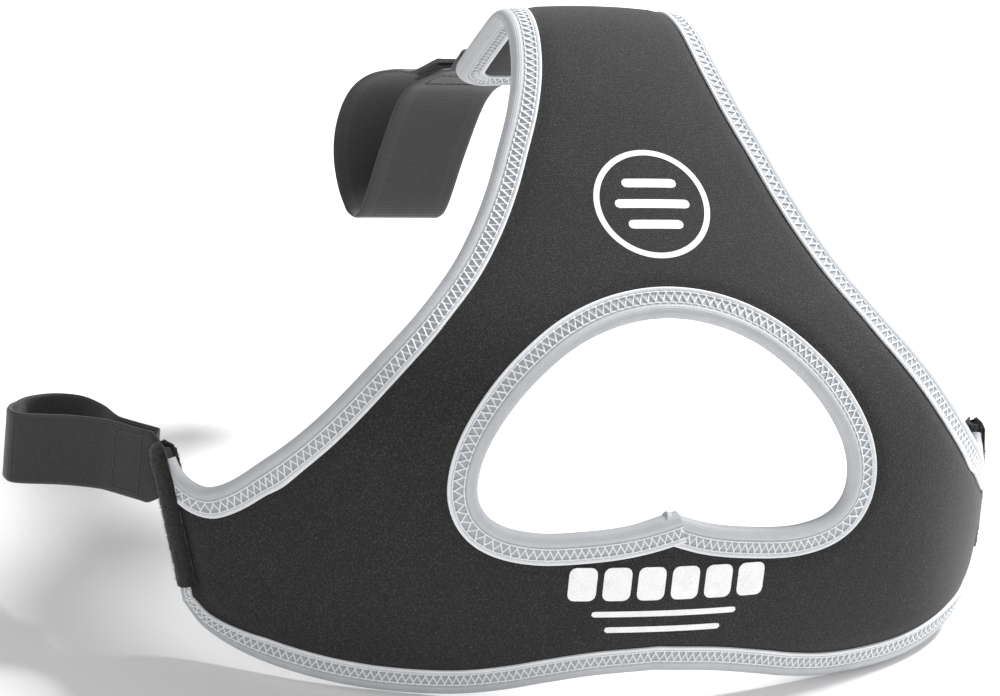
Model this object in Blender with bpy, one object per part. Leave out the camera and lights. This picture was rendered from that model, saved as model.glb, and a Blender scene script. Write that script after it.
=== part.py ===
"""Head harness of a catcher's mask: a padded, delta-shaped back plate with three strap loops.

The plate is drawn flat, like the fabric pattern it is cut from, and bent afterwards: u runs across
it from the centre line, v runs up it from its lowest point, and w is the height above its middle
layer, towards the outside. The plate faces -Y, and its wings and crown lobe curl towards +Y.
Lengths are in metres and angles in degrees, unless a name says otherwise.
"""

import math

import bmesh
import bpy
import numpy as np
from mathutils import Matrix, Vector

LEFT, RIGHT = -1, 1
ALONG_U, ALONG_V = (1, 0), (0, 1)
SIDE_NAMES = {LEFT: "left", RIGHT: "right"}

# ---- How the plate is bent ------------------------------------------------------------------
# Distance up the centre line, and how far the plate leans back there. Arcs join the stations.
LEAN = ((-0.005, -7), (0.017, -2), (0.077, 12), (0.137, 48), (0.177, 49), (0.207, 53),
        (0.237, 64), (0.254, 92), (0.271, 131), (0.330, 135))
# Distance out from the centre line, and how far the wing has turned back there. The left wing
# lies more open than the right one.
TURN = {
    LEFT: ((0.000, 0), (0.045, 7), (0.090, 17), (0.135, 38), (0.200, 63)),
    RIGHT: ((0.000, 0), (0.045, 9), (0.090, 20), (0.135, 47), (0.165, 73), (0.200, 100)),
}

# ---- The flat pattern, right half, as (u, v) ------------------------------------------------
LOWER_EDGE = ((0.000, 0.0115), (0.020, 0.0100), (0.036, 0.0072), (0.050, 0.0040), (0.066, 0.0013),
              (0.088, 0.0000), (0.112, 0.0002), (0.134, 0.0018), (0.150, 0.0062), (0.159, 0.0140))
UPPER_EDGE = ((0.171, 0.0775), (0.168, 0.0700), (0.163, 0.0645), (0.155, 0.0625), (0.146, 0.0670),
              (0.135, 0.0770), (0.117, 0.0965), (0.098, 0.1180), (0.082, 0.1350), (0.069, 0.1500),
              (0.060, 0.1640), (0.053, 0.1780), (0.047, 0.1930), (0.041, 0.2090), (0.0365, 0.2260),
              (0.034, 0.2440), (0.033, 0.2620), (0.033, 0.3000))
WING_TOP_CORNER = (0.1770, 0.0775)
CROWN_END = 0.3220
CROWN_CORNER_RADIUS = 0.014
OPENING = ((0.000, 0.0645), (0.014, 0.0605), (0.030, 0.0585), (0.045, 0.0580), (0.057, 0.0605),
           (0.064, 0.0660), (0.0665, 0.0750), (0.064, 0.0870), (0.057, 0.0995), (0.047, 0.1110),
           (0.033, 0.1220), (0.017, 0.1290), (0.000, 0.1315))

# ---- Layers and tapes -----------------------------------------------------------------------
GAP = 0.0003
FOAM_THICKNESS = 0.0030
SKIN_THICKNESS = 0.0008
TAPE_THICKNESS = 0.0008
BINDING_REACH = 0.0092
END_TAPE_REACH = 0.0055
END_TAPE_START = 0.0060
TAPE_CLEARANCE = 0.0004
EDGE_CLEARANCE = 0.0008
WING_BINDING_END_U = 0.1575
RING_HALF_GAP = 0.0003

SKIN_INNER_W = FOAM_THICKNESS / 2 + GAP
SKIN_OUTER_W = SKIN_INNER_W + SKIN_THICKNESS
TAPE_INNER_W = SKIN_OUTER_W + TAPE_CLEARANCE
TAPE_OUTER_W = TAPE_INNER_W + TAPE_THICKNESS
LAYERS = {
    "outer_shell": (SKIN_INNER_W, SKIN_OUTER_W),
    "foam_core": (-FOAM_THICKNESS / 2, FOAM_THICKNESS / 2),
    "inner_lining": (-SKIN_OUTER_W, -SKIN_INNER_W),
}

# ---- Lines where the sheet flexes -----------------------------------------------------------
WING_FOLD_U = 0.096
WING_FOLD_SPAN = (0.005, 0.060, 0.115)
CROWN_FOLD_V = 0.2200
WING_FOLD_GAP = 0.0044
CROWN_FOLD_GAP = 0.0034

# ---- Mesh spacing ---------------------------------------------------------------------------
GRID_SPACING = 0.0140
CROWN_GRID_SPACING = 0.0090
EDGE_SPACING = 0.0080
CROWN_EDGE_SPACING = 0.0060
SAMPLE_STEP = 0.0005

# ---- Where the harness rests on the head ----------------------------------------------------
# The flat place, on the lining, that meets the middle of the back of the head.
HEAD_REST_V = 0.0360

# ---- Straps ---------------------------------------------------------------------------------
STRAP_THICKNESS = 0.0014
STRAP_SPACING = 0.0035
TAB_THICKNESS = 0.0009
TAB_RANGE = (0.0035, 0.0165)
PATCH_RANGE = (0.0020, 0.0180)
SWING_GAP = 0.0032
STITCH_THICKNESS = 0.0005
STITCH_WIDTH = 0.0020
STITCH_INSET = 0.0030
STUB_NEAR_W = TAPE_OUTER_W + GAP
STUB_FAR_W = STUB_NEAR_W + STRAP_THICKNESS
LEG_SPACING = STRAP_THICKNESS + 2 * TAB_THICKNESS + 3 * GAP

# Centre lines of a strap's two legs seen along its width, as (away from the root, backwards).
SIDE_OUTER_LEG = ((0.000, 0.0000), (0.009, 0.0000), (0.018, 0.0000), (0.0225, -0.0006),
                  (0.033, -0.0050), (0.046, -0.0130), (0.0510, -0.0122), (0.0530, -0.0092))
SIDE_RETURN_LEG = ((0.0530, -0.0066), (0.0525, 0.0000), (0.0475, 0.0075), (0.0390, 0.0115),
                   (0.0290, 0.0095), (0.0210, 0.0052), (0.0165, LEG_SPACING), (0.0030, LEG_SPACING))
CROWN_OUTER_LEG = ((0.000, 0.0000), (0.009, 0.0000), (0.018, 0.0000), (0.0255, -0.0010),
                   (0.0355, -0.0055), (0.0540, -0.0175), (0.0735, -0.0310), (0.0810, -0.0340),
                   (0.0840, -0.0320))
CROWN_RETURN_LEG = ((0.0846, -0.0294), (0.0838, -0.0220), (0.0800, -0.0125), (0.0730, -0.0035),
                    (0.0630, 0.0040), (0.0520, 0.0085), (0.0400, 0.0095), (0.0270, 0.0072),
                    (0.0175, LEG_SPACING), (0.0030, LEG_SPACING))

# How each strap is sewn on: the flat (u, v) of the middle of its sewn end's outer edge, its
# width, the sewn end's length, the face of the plate that it lies on, the flat axis that it
# runs along (0 for u, 1 for v), the directions away from the root and along the width, and how
# far the backward direction slips sideways for each unit of itself.
STRAPS = {
    "left": {"root": (-0.1775, 0.0640), "width": 0.0254, "stub": 0.0060, "face": -1, "column": 0,
             "away": Vector((-0.71, 0.71, -0.05)), "across": Vector((0, 0, -1)), "skew": 0.0},
    "right": {"root": (0.1775, 0.0640), "width": 0.0254, "stub": 0.0060, "face": -1, "column": 0,
              "away": Vector((-0.10, 1.00, -0.34)), "across": Vector((0, 0, 1)), "skew": 0.0},
    "crown": {"root": (-0.0165, CROWN_END + 0.0005), "width": 0.0318, "stub": 0.0160, "face": 1,
              "column": 1, "away": Vector((-0.34, 0.79, -0.58)), "across": Vector((1, 0, 0)),
              "skew": 0.34},
}

# ---- Colours --------------------------------------------------------------------------------
KNIT_BLACK = (0.030, 0.030, 0.031)
FOAM_BLACK = (0.018, 0.018, 0.018)
LINING_BLACK = (0.020, 0.020, 0.021)
BINDING_GREY = (0.560, 0.570, 0.590)
WEBBING_BLACK = (0.045, 0.045, 0.046)
HOOK_BLACK = (0.012, 0.012, 0.012)
THREAD_GREY = (0.085, 0.085, 0.090)


# ---- Bending --------------------------------------------------------------------------------
class ArcChain:
    """A chain of tangent arcs, given as (distance, heading) stations."""

    def __init__(self, stations):
        places, headings = zip(*stations)
        self.distance = np.arange(places[0], places[-1] + SAMPLE_STEP, SAMPLE_STEP)
        self.heading = np.radians(np.interp(self.distance, places, headings))
        middle = (self.heading[1:] + self.heading[:-1]) / 2
        self.ahead = np.append(0, np.cumsum(np.cos(middle)) * SAMPLE_STEP)
        self.aside = np.append(0, np.cumsum(np.sin(middle)) * SAMPLE_STEP)

    def at(self, distance):
        """Return the heading, and how far ahead and aside the chain has gone."""
        tracks = (self.heading, self.ahead, self.aside)
        return [float(np.interp(distance, self.distance, track)) for track in tracks]


PROFILE = ArcChain(LEAN)
WINGS = {side: ArcChain(stations) for side, stations in TURN.items()}


def wrap(u, v, w=0.0):
    """Carry a point of the flat pattern to its place on the bent plate."""
    side = LEFT if u < 0 else RIGHT
    lean, height, setback = PROFILE.at(v)
    turn, across, depth = WINGS[side].at(abs(u))
    point = Vector((side * across,
                    setback + math.cos(lean) * depth,
                    height - math.sin(lean) * depth))
    outward = Vector((side * math.sin(turn),
                      -math.cos(lean) * math.cos(turn),
                      math.sin(lean) * math.cos(turn)))
    return point + w * outward


def slopes(u, v):
    """Return how a bent point moves as u and as v grow, as the two columns of a matrix."""
    step = SAMPLE_STEP
    across = wrap(u + step, v) - wrap(u - step, v)
    upward = wrap(u, v + step) - wrap(u, v - step)
    return np.column_stack((across, upward)) / (2 * step)


def inward_steps(line, material_side, end_cuts):
    """Return, for each point of a flat edge line, the flat step that is a true unit inwards.

    end_cuts gives the flat direction of the cut at each end, or None for a square cut.
    """
    steps = []
    cuts = [end_cuts[0], *[None] * (len(line) - 2), end_cuts[1]]
    for place, ahead, cut in zip(line, np.gradient(line, axis=0), cuts):
        matrix = slopes(*place)
        along = matrix @ ahead
        outward = np.cross(matrix[:, 0], matrix[:, 1])
        inward = np.cross(outward, along) * material_side
        inward /= np.linalg.norm(inward)
        if cut is None:
            steps.append(np.linalg.lstsq(matrix, inward, rcond=None)[0])
        else:
            steps.append(np.array(cut) / np.dot(matrix @ cut, inward))
    return np.array(steps)


# ---- Outlines -------------------------------------------------------------------------------
def smooth_line(points, spacing):
    """Run a Catmull-Rom curve through the points and return it evenly spaced."""
    points = np.array(points)
    ends = (2 * points[0] - points[1], 2 * points[-1] - points[-2])
    framed = np.vstack((ends[0], points, ends[1]))
    fine = []
    for before, start, stop, after in zip(framed, framed[1:], framed[2:], framed[3:]):
        for t in np.linspace(0, 1, 12, endpoint=False):
            fine.append(0.5 * (2 * start + (stop - before) * t
                               + (2 * before - 5 * start + 4 * stop - after) * t ** 2
                               + (3 * start - before - 3 * stop + after) * t ** 3))
    fine.append(points[-1])
    return even_line(fine, spacing)


def even_line(points, spacing):
    """Return the polyline with its points evenly spaced, ends kept."""
    points = np.array(points)
    travelled = np.append(0, np.cumsum(np.linalg.norm(np.diff(points, axis=0), axis=1)))
    count = max(2, round(travelled[-1] / spacing) + 1)
    wanted = np.linspace(0, travelled[-1], count)
    return np.column_stack([np.interp(wanted, travelled, column) for column in points.T])


def mirrored(line):
    """Return the line's left-hand twin, run the other way."""
    return (line * (-1, 1))[::-1]


def crown_corner():
    """Return the quarter arc at the crown lobe's right corner."""
    side_u = UPPER_EDGE[-1][0]
    centre = np.array((side_u - CROWN_CORNER_RADIUS, CROWN_END - CROWN_CORNER_RADIUS))
    angles = np.linspace(0, math.pi / 2, 6)
    return centre + CROWN_CORNER_RADIUS * np.column_stack((np.cos(angles), np.sin(angles)))


def cut_at(line, column, limit, keep_above):
    """Keep the part of a line on one side of a limit in u or v, ending exactly on the limit."""
    kept = []
    for start, stop in zip(line, line[1:]):
        inside = [(point[column] > limit) == keep_above for point in (start, stop)]
        if inside[0]:
            kept.append(start)
        if inside[0] != inside[1]:
            share = (limit - start[column]) / (stop[column] - start[column])
            kept.append(start + share * (stop - start))
    if (line[-1][column] > limit) == keep_above:
        kept.append(line[-1])
    return np.array(kept)


LOWER_LINE = smooth_line(LOWER_EDGE, EDGE_SPACING)
UPPER_LINE = smooth_line(UPPER_EDGE, EDGE_SPACING)
OPENING_LINE = smooth_line(OPENING, EDGE_SPACING)
CROWN_CORNER_LINE = crown_corner()


def plate_outline():
    """Return the whole plate's outline, anticlockwise."""
    right = np.vstack((LOWER_LINE, [WING_TOP_CORNER], UPPER_LINE, CROWN_CORNER_LINE[1:]))
    return np.vstack((right, mirrored(right)[:-1]))


def opening_outline():
    """Return the ponytail opening's outline."""
    return np.vstack((OPENING_LINE, mirrored(OPENING_LINE)[1:-1]))


# ---- Scene helpers --------------------------------------------------------------------------
for old_object in list(bpy.data.objects):
    bpy.data.objects.remove(old_object, do_unlink=True)

HARNESS = bpy.data.collections.new("mask_head_harness")
CUTTERS = bpy.data.collections.new("cutters")
for collection in (HARNESS, CUTTERS):
    bpy.context.scene.collection.children.link(collection)


def make_material(name, colour, roughness):
    material = bpy.data.materials.new(name)
    material.use_nodes = True
    shader = material.node_tree.nodes["Principled BSDF"]
    shader.inputs["Base Color"].default_value = (*colour, 1)
    shader.inputs["Roughness"].default_value = roughness
    shader.inputs["Metallic"].default_value = 0
    return material


def add_object(name, mesh, colour, roughness):
    """Put a mesh in the harness collection as a named part with its own material."""
    piece = bpy.data.objects.new(name, mesh)
    piece.data.materials.append(make_material(name, colour, roughness))
    HARNESS.objects.link(piece)
    return piece


def flat_prism(name, outline, low, high):
    """Extrude a closed outline between two heights, as a cutter mesh object."""
    curve = bpy.data.curves.new(name, "CURVE")
    curve.dimensions = "2D"
    curve.fill_mode = "BOTH"
    curve.extrude = (high - low) / 2
    spline = curve.splines.new("POLY")
    spline.points.add(len(outline) - 1)
    for point, (x, y) in zip(spline.points, outline):
        point.co = (x, y, 0, 1)
    spline.use_cyclic_u = True
    guide = bpy.data.objects.new(name, curve)
    CUTTERS.objects.link(guide)
    bpy.context.view_layer.update()
    mesh = bpy.data.meshes.new_from_object(guide.evaluated_get(bpy.context.evaluated_depsgraph_get()))
    bpy.data.objects.remove(guide)
    shape = bmesh.new()
    shape.from_mesh(mesh)
    bmesh.ops.remove_doubles(shape, verts=shape.verts, dist=0.00001)
    bmesh.ops.translate(shape, verts=shape.verts, vec=(0, 0, (high + low) / 2))
    bmesh.ops.recalc_face_normals(shape, faces=shape.faces)
    shape.to_mesh(mesh)
    shape.free()
    prism = bpy.data.objects.new(name, mesh)
    prism.display_type = "WIRE"
    prism.hide_render = True
    CUTTERS.objects.link(prism)
    return prism


def grid_slab(low, high, spacing):
    """Make a box whose faces carry grid lines in u and v, so that it can be bent."""
    shape = bmesh.new()
    bmesh.ops.create_cube(shape, size=1)
    size = Vector(high) - Vector(low)
    bmesh.ops.scale(shape, verts=shape.verts, vec=size)
    bmesh.ops.translate(shape, verts=shape.verts, vec=(Vector(high) + Vector(low)) / 2)
    for axis in (0, 1):
        cells = max(1, math.ceil(size[axis] / spacing))
        normal = [0, 0, 0]
        normal[axis] = 1
        for cell in range(1, cells):
            place = [0, 0, 0]
            place[axis] = low[axis] + size[axis] * cell / cells
            everything = shape.verts[:] + shape.edges[:] + shape.faces[:]
            bmesh.ops.bisect_plane(shape, geom=everything, plane_co=place, plane_no=normal)
    return shape


def bend(shape):
    """Triangulate a flat shape and carry each of its points onto the bent plate."""
    bmesh.ops.triangulate(shape, faces=shape.faces)
    for vertex in shape.verts:
        vertex.co = wrap(*vertex.co)


def finish_mesh(name, shape):
    """Turn a closed shape into a mesh with its faces pointing out."""
    bmesh.ops.recalc_face_normals(shape, faces=shape.faces)
    if shape.calc_volume(signed=True) < 0:
        bmesh.ops.reverse_faces(shape, faces=shape.faces)
    mesh = bpy.data.meshes.new(name)
    shape.to_mesh(mesh)
    shape.free()
    return mesh


def cut_slab(name, low, high, spacing, cutters):
    """Cut a slab to the pattern with Booleans and bend it."""
    blank_shape = grid_slab(low, high, spacing)
    blank_mesh = finish_mesh(name, blank_shape)
    blank = bpy.data.objects.new(name, blank_mesh)
    CUTTERS.objects.link(blank)
    for operation, cutter in cutters:
        modifier = blank.modifiers.new(operation, "BOOLEAN")
        modifier.operation = operation
        modifier.solver = "EXACT"
        modifier.object = cutter
    bpy.context.view_layer.update()
    depsgraph = bpy.context.evaluated_depsgraph_get()
    cut_mesh = bpy.data.meshes.new_from_object(blank.evaluated_get(depsgraph))
    bpy.data.objects.remove(blank)
    shape = bmesh.new()
    shape.from_mesh(cut_mesh)
    bend(shape)
    return finish_mesh(name, shape)


def loft(name, sections, cap_faces):
    """Skin a row of closed flat sections, close both ends with cap_faces, and bend the result."""
    shape = bmesh.new()
    rings = [[shape.verts.new(point) for point in section] for section in sections]
    count = len(rings[0])
    for ring, following in zip(rings, rings[1:]):
        for index in range(count):
            after = (index + 1) % count
            shape.faces.new((ring[index], ring[after], following[after], following[index]))
    for face in cap_faces:
        shape.faces.new([rings[0][index] for index in face[::-1]])
        shape.faces.new([rings[-1][index] for index in face])
    bend(shape)
    return finish_mesh(name, shape)


# ---- The plate's layers ---------------------------------------------------------------------
def plate_regions():
    """Return each region of the plate as (name, lowest u v, highest u v, grid spacing)."""
    fold_u = WING_FOLD_U
    half_gap = WING_FOLD_GAP / 2
    widest = 0.190
    crown_start = CROWN_FOLD_V
    half_crown_gap = CROWN_FOLD_GAP / 2
    below, above = -0.003, CROWN_END + 0.003
    return (
        ("centre", (-fold_u + half_gap, below), (fold_u - half_gap, crown_start - half_crown_gap),
         GRID_SPACING),
        ("left_wing", (-widest, below), (-fold_u - half_gap, 0.130), GRID_SPACING),
        ("right_wing", (fold_u + half_gap, below), (widest, 0.130), GRID_SPACING),
        ("crown", (-0.045, crown_start + half_crown_gap), (0.045, above), CROWN_GRID_SPACING),
    )


def build_plate():
    """Build the outer shell, foam core and inner lining of every region."""
    outline = flat_prism("plate_outline_cutter", plate_outline(), -0.010, 0.010)
    opening = flat_prism("opening_cutter", opening_outline(), -0.012, 0.012)
    looks = {
        "outer_shell": (KNIT_BLACK, 0.80),
        "foam_core": (FOAM_BLACK, 0.90),
        "inner_lining": (LINING_BLACK, 0.90),
    }
    for region, (low_u, low_v), (high_u, high_v), spacing in plate_regions():
        cutters = [("INTERSECT", outline)]
        if region == "centre":
            cutters.append(("DIFFERENCE", opening))
        for layer, (low_w, high_w) in LAYERS.items():
            name = f"{layer}_{region}"
            mesh = cut_slab(name, (low_u, low_v, low_w), (high_u, high_v, high_w), spacing, cutters)
            add_object(name, mesh, *looks[layer])


# ---- Tapes folded over the plate's edges ----------------------------------------------------
# The faces that close a C-shaped section, by the places of their points in its profile.
TAPE_CAP_FACES = ((0, 1, 8, 9), (1, 2, 8), (2, 3, 7, 8), (3, 4, 7), (4, 5, 6, 7))


def tape_sections(line, reach, material_side=1, end_cuts=(None, None)):
    """Return the flat C-shaped sections of a tape folded over an edge line.

    material_side is +1 where the plate lies to the left of the line's direction.
    """
    inside = -EDGE_CLEARANCE
    outside = inside - TAPE_THICKNESS
    profile = (
        (reach, TAPE_OUTER_W), (inside, TAPE_OUTER_W), (outside, TAPE_INNER_W),
        (outside, -TAPE_INNER_W), (inside, -TAPE_OUTER_W), (reach, -TAPE_OUTER_W),
        (reach, -TAPE_INNER_W), (inside, -TAPE_INNER_W), (inside, TAPE_INNER_W),
        (reach, TAPE_INNER_W),
    )
    inward = inward_steps(line, material_side, end_cuts)
    sections = []
    for place, direction in zip(line, inward):
        section = [(*(place + direction * depth), w) for depth, w in profile]
        sections.append(section)
    return sections


def build_tape(name, sections, colour, roughness):
    return add_object(name, loft(name, sections, TAPE_CAP_FACES), colour, roughness)


def build_bindings():
    """Bind every edge with grey tape, parted where the sheet flexes."""
    half_wing_gap = WING_FOLD_GAP / 2
    half_crown_gap = CROWN_FOLD_GAP / 2
    wing_limits = (WING_FOLD_U - half_wing_gap, WING_FOLD_U + half_wing_gap)
    crown_limits = (CROWN_FOLD_V - half_crown_gap, CROWN_FOLD_V + half_crown_gap)

    def bind(name, line, end_cuts=(None, None), material_side=1):
        sections = tape_sections(line, BINDING_REACH, material_side, end_cuts)
        build_tape(name, sections, BINDING_GREY, 0.55)

    def bind_both_sides(name, line, end_cuts=(None, None)):
        """Bind the right-hand line and its left-hand twin. {} in the name is the side."""
        bind(name.format("right"), line, end_cuts)
        mirrored_cuts = [cut and (-cut[0], cut[1]) for cut in end_cuts[::-1]]
        bind(name.format("left"), mirrored(line), mirrored_cuts)

    centre_lower = cut_at(LOWER_LINE, 0, wing_limits[0], keep_above=False)
    whole_lower = np.vstack((mirrored(centre_lower)[:-1], centre_lower))
    bind("lower_binding_centre", whole_lower, (ALONG_V, ALONG_V))
    wing_lower = cut_at(LOWER_LINE, 0, wing_limits[1], keep_above=True)
    wing_lower = cut_at(wing_lower, 0, WING_BINDING_END_U, keep_above=False)
    bind_both_sides("lower_binding_{}_wing", wing_lower, (ALONG_V, None))
    wing_upper = cut_at(UPPER_LINE, 0, wing_limits[1], keep_above=True)
    wing_upper = cut_at(wing_upper, 0, WING_BINDING_END_U, keep_above=False)
    bind_both_sides("upper_binding_{}_wing", wing_upper, (None, ALONG_V))
    waist = cut_at(UPPER_LINE, 0, wing_limits[0], keep_above=False)
    waist = cut_at(waist, 1, crown_limits[0], keep_above=False)
    bind_both_sides("upper_binding_{}_waist", waist, (ALONG_V, ALONG_U))

    crown_side = cut_at(UPPER_LINE, 1, crown_limits[1], keep_above=True)
    crown_side = even_line(crown_side, CROWN_EDGE_SPACING)
    half_crown = np.vstack((crown_side, CROWN_CORNER_LINE[1:]))
    end_run = even_line((half_crown[-1], half_crown[-1] * (-1, 1)), CROWN_EDGE_SPACING)
    whole_crown = np.vstack((half_crown, end_run[1:-1], mirrored(half_crown)))
    bind("crown_binding", whole_crown, (ALONG_U, ALONG_U))

    ring = np.vstack((OPENING_LINE, mirrored(OPENING_LINE)[1:]))
    ring[0] += (RING_HALF_GAP, 0)
    ring[-1] -= (RING_HALF_GAP, 0)
    bind("opening_binding", ring, (ALONG_V, ALONG_V), material_side=-1)


def build_end_tapes():
    """Fold a strip of hook-and-loop tape over each wing's end edge."""
    bottom, top = LOWER_LINE[-1], np.array(WING_TOP_CORNER)
    along = (top - bottom) / np.linalg.norm(top - bottom)
    line = even_line((bottom + along * END_TAPE_START, top), EDGE_SPACING)
    for side, side_name in SIDE_NAMES.items():
        placed = line if side == RIGHT else mirrored(line)
        sections = tape_sections(placed, END_TAPE_REACH)
        build_tape(f"{side_name}_end_tape", sections, HOOK_BLACK, 0.95)


# ---- Straps ---------------------------------------------------------------------------------
def strap_frame(strap):
    """Return the matrix that carries (away from the root, backwards, across) to the world."""
    plan = STRAPS[strap]
    away = plan["away"].normalized()
    across = plan["across"]
    normal = across.cross(away)
    back = normal.normalized() - plan["skew"] * across
    frame = Matrix((away, back, across / normal.length)).transposed().to_4x4()
    stub_end = wrap(*plan["root"], plan["face"] * (STUB_NEAR_W + STUB_FAR_W) / 2)
    frame.translation = stub_end + away * SWING_GAP / 2
    return frame


def band_outline(centre_line, thickness, shift=0.0):
    """Return the closed outline of a band that follows a centre line, moved sideways by shift."""
    ahead = np.gradient(centre_line, axis=0)
    ahead /= np.linalg.norm(ahead, axis=1)[:, None]
    sideways = np.column_stack((-ahead[:, 1], ahead[:, 0]))
    middle = centre_line + sideways * shift
    near = middle - sideways * thickness / 2
    far = middle + sideways * thickness / 2
    return np.vstack((near, far[::-1]))


def add_band(name, outline, strap, colour, roughness):
    """Add a band of the strap's width with the given outline in the strap's own frame."""
    half_width = STRAPS[strap]["width"] / 2
    cutter = flat_prism(name + "_outline", outline, -half_width, half_width)
    mesh = cutter.data.copy()
    bpy.data.objects.remove(cutter)
    mesh.name = name
    mesh.transform(strap_frame(strap))
    return add_object(name, mesh, colour, roughness)


def build_stub(strap):
    """Build the strap's sewn end, flat on the plate, and the bar tack that holds it."""
    plan = STRAPS[strap]
    outer_end = np.array(plan["root"])
    away = np.zeros(2)
    away[plan["column"]] = math.copysign(1, outer_end[plan["column"]])
    across = np.abs(away[::-1])
    inner_end = outer_end - away * plan["stub"]

    def add_layer(name, middle, half_size, near_w, far_w, colour, roughness):
        (low_u, low_v), (high_u, high_v) = middle - half_size, middle + half_size
        low_w, high_w = sorted((plan["face"] * near_w, plan["face"] * far_w))
        mesh = cut_slab(name, (low_u, low_v, low_w), (high_u, high_v, high_w), CROWN_GRID_SPACING, ())
        add_object(name, mesh, colour, roughness)

    add_layer(f"{strap}_strap_stub", (outer_end + inner_end) / 2,
              across * plan["width"] / 2 + np.abs(away) * plan["stub"] / 2,
              STUB_NEAR_W, STUB_FAR_W, WEBBING_BLACK, 0.6)
    add_layer(f"{strap}_bar_tack", inner_end + away * STITCH_INSET,
              across * (plan["width"] / 2 - STITCH_INSET) + np.abs(away) * STITCH_WIDTH / 2,
              STUB_FAR_W + GAP, STUB_FAR_W + GAP + STITCH_THICKNESS, THREAD_GREY, 0.7)


def build_strap(strap):
    """Build one strap loop: its two legs, the hook tab, and the loop patch that it closes on."""
    frame = strap_frame(strap)
    side_legs = (SIDE_OUTER_LEG, SIDE_RETURN_LEG)
    legs = (CROWN_OUTER_LEG, CROWN_RETURN_LEG) if strap == "crown" else side_legs
    outer_line, return_line = (smooth_line(leg, STRAP_SPACING) for leg in legs)
    outer_line = cut_at(outer_line, 0, SWING_GAP / 2, keep_above=True)
    outer_leg = add_band(f"{strap}_strap_outer_leg", band_outline(outer_line, STRAP_THICKNESS),
                         strap, WEBBING_BLACK, 0.6)
    return_leg = add_band(f"{strap}_strap_return_leg", band_outline(return_line, STRAP_THICKNESS),
                          strap, WEBBING_BLACK, 0.6)
    leg_face = STRAP_THICKNESS / 2 + GAP
    patch_outline = band_outline(np.array([(place, 0) for place in PATCH_RANGE]), TAB_THICKNESS,
                                 leg_face + TAB_THICKNESS / 2)
    patch = add_band(f"{strap}_loop_patch", patch_outline, strap, HOOK_BLACK, 0.95)
    tab_height = LEG_SPACING - leg_face - TAB_THICKNESS / 2
    tab_outline = band_outline(np.array([(place, 0) for place in TAB_RANGE]), TAB_THICKNESS,
                               tab_height)
    tab = add_band(f"{strap}_hook_tab", tab_outline, strap, HOOK_BLACK, 0.95)
    peel_place = (outer_line[-1] + return_line[0]) / 2
    peel_point = frame @ Vector((*peel_place, 0))
    return (outer_leg, patch), (return_leg, tab), frame.translation, peel_point


# ---- Joints' origins ------------------------------------------------------------------------
def hang_on(name, place, pieces, parent=None):
    """Parent the pieces to an empty on their joint's axis, leaving them where they are."""
    pivot = bpy.data.objects.new(name, None)
    pivot.empty_display_size = 0.01
    HARNESS.objects.link(pivot)
    pivot.location = place - (parent.matrix_world.translation if parent else Vector())
    pivot.parent = parent
    bpy.context.view_layer.update()
    for piece in pieces:
        piece.data.transform(Matrix.Translation(-place))
        piece.parent = pivot
    return pivot


def nodes_of(*name_parts):
    """Return the harness's meshes whose names hold one of the given parts."""
    meshes = [piece for piece in HARNESS.objects if piece.type == "MESH"]
    return [piece for piece in meshes if any(part in piece.name for part in name_parts)]


def wing_flex_point(side):
    """Return the middle of the line that a wing flexes about.

    The sheet is curved along its fold, so the line lies halfway between the fold's bulge and the
    chord between its ends.
    """
    low, middle, high = (wrap(side * WING_FOLD_U, v) for v in WING_FOLD_SPAN)
    return ((low + high) / 2 + middle) / 2


def build_straps():
    """Build the three straps and hang each moving body on its pivot."""
    flex_points = {
        "left": wing_flex_point(LEFT),
        "right": wing_flex_point(RIGHT),
        "crown": wrap(0, CROWN_FOLD_V),
    }
    regions = {
        "left": ("left_wing", "left_end_tape", "left_strap_stub", "left_bar_tack"),
        "right": ("right_wing", "right_end_tape", "right_strap_stub", "right_bar_tack"),
        "crown": ("_crown", "crown_binding", "crown_strap_stub", "crown_bar_tack"),
    }
    for strap, flex_point in flex_points.items():
        build_stub(strap)
        flex_pivot = hang_on(f"{strap}_flex_pivot", flex_point, nodes_of(*regions[strap]))
        outer_pieces, return_pieces, swing_point, peel_point = build_strap(strap)
        swing_pivot = hang_on(f"{strap}_swing_pivot", swing_point, outer_pieces, flex_pivot)
        hang_on(f"{strap}_peel_pivot", peel_point, return_pieces, swing_pivot)


def set_origin_at_head_rest():
    """Move the whole harness so that the point that rests on the head is at the origin."""
    head_rest = wrap(0, HEAD_REST_V, -SKIN_OUTER_W)
    for piece in HARNESS.objects:
        if piece.parent is None:
            piece.location -= head_rest
    bpy.context.view_layer.update()


build_plate()
build_bindings()
build_end_tapes()
build_straps()
set_origin_at_head_rest()
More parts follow.
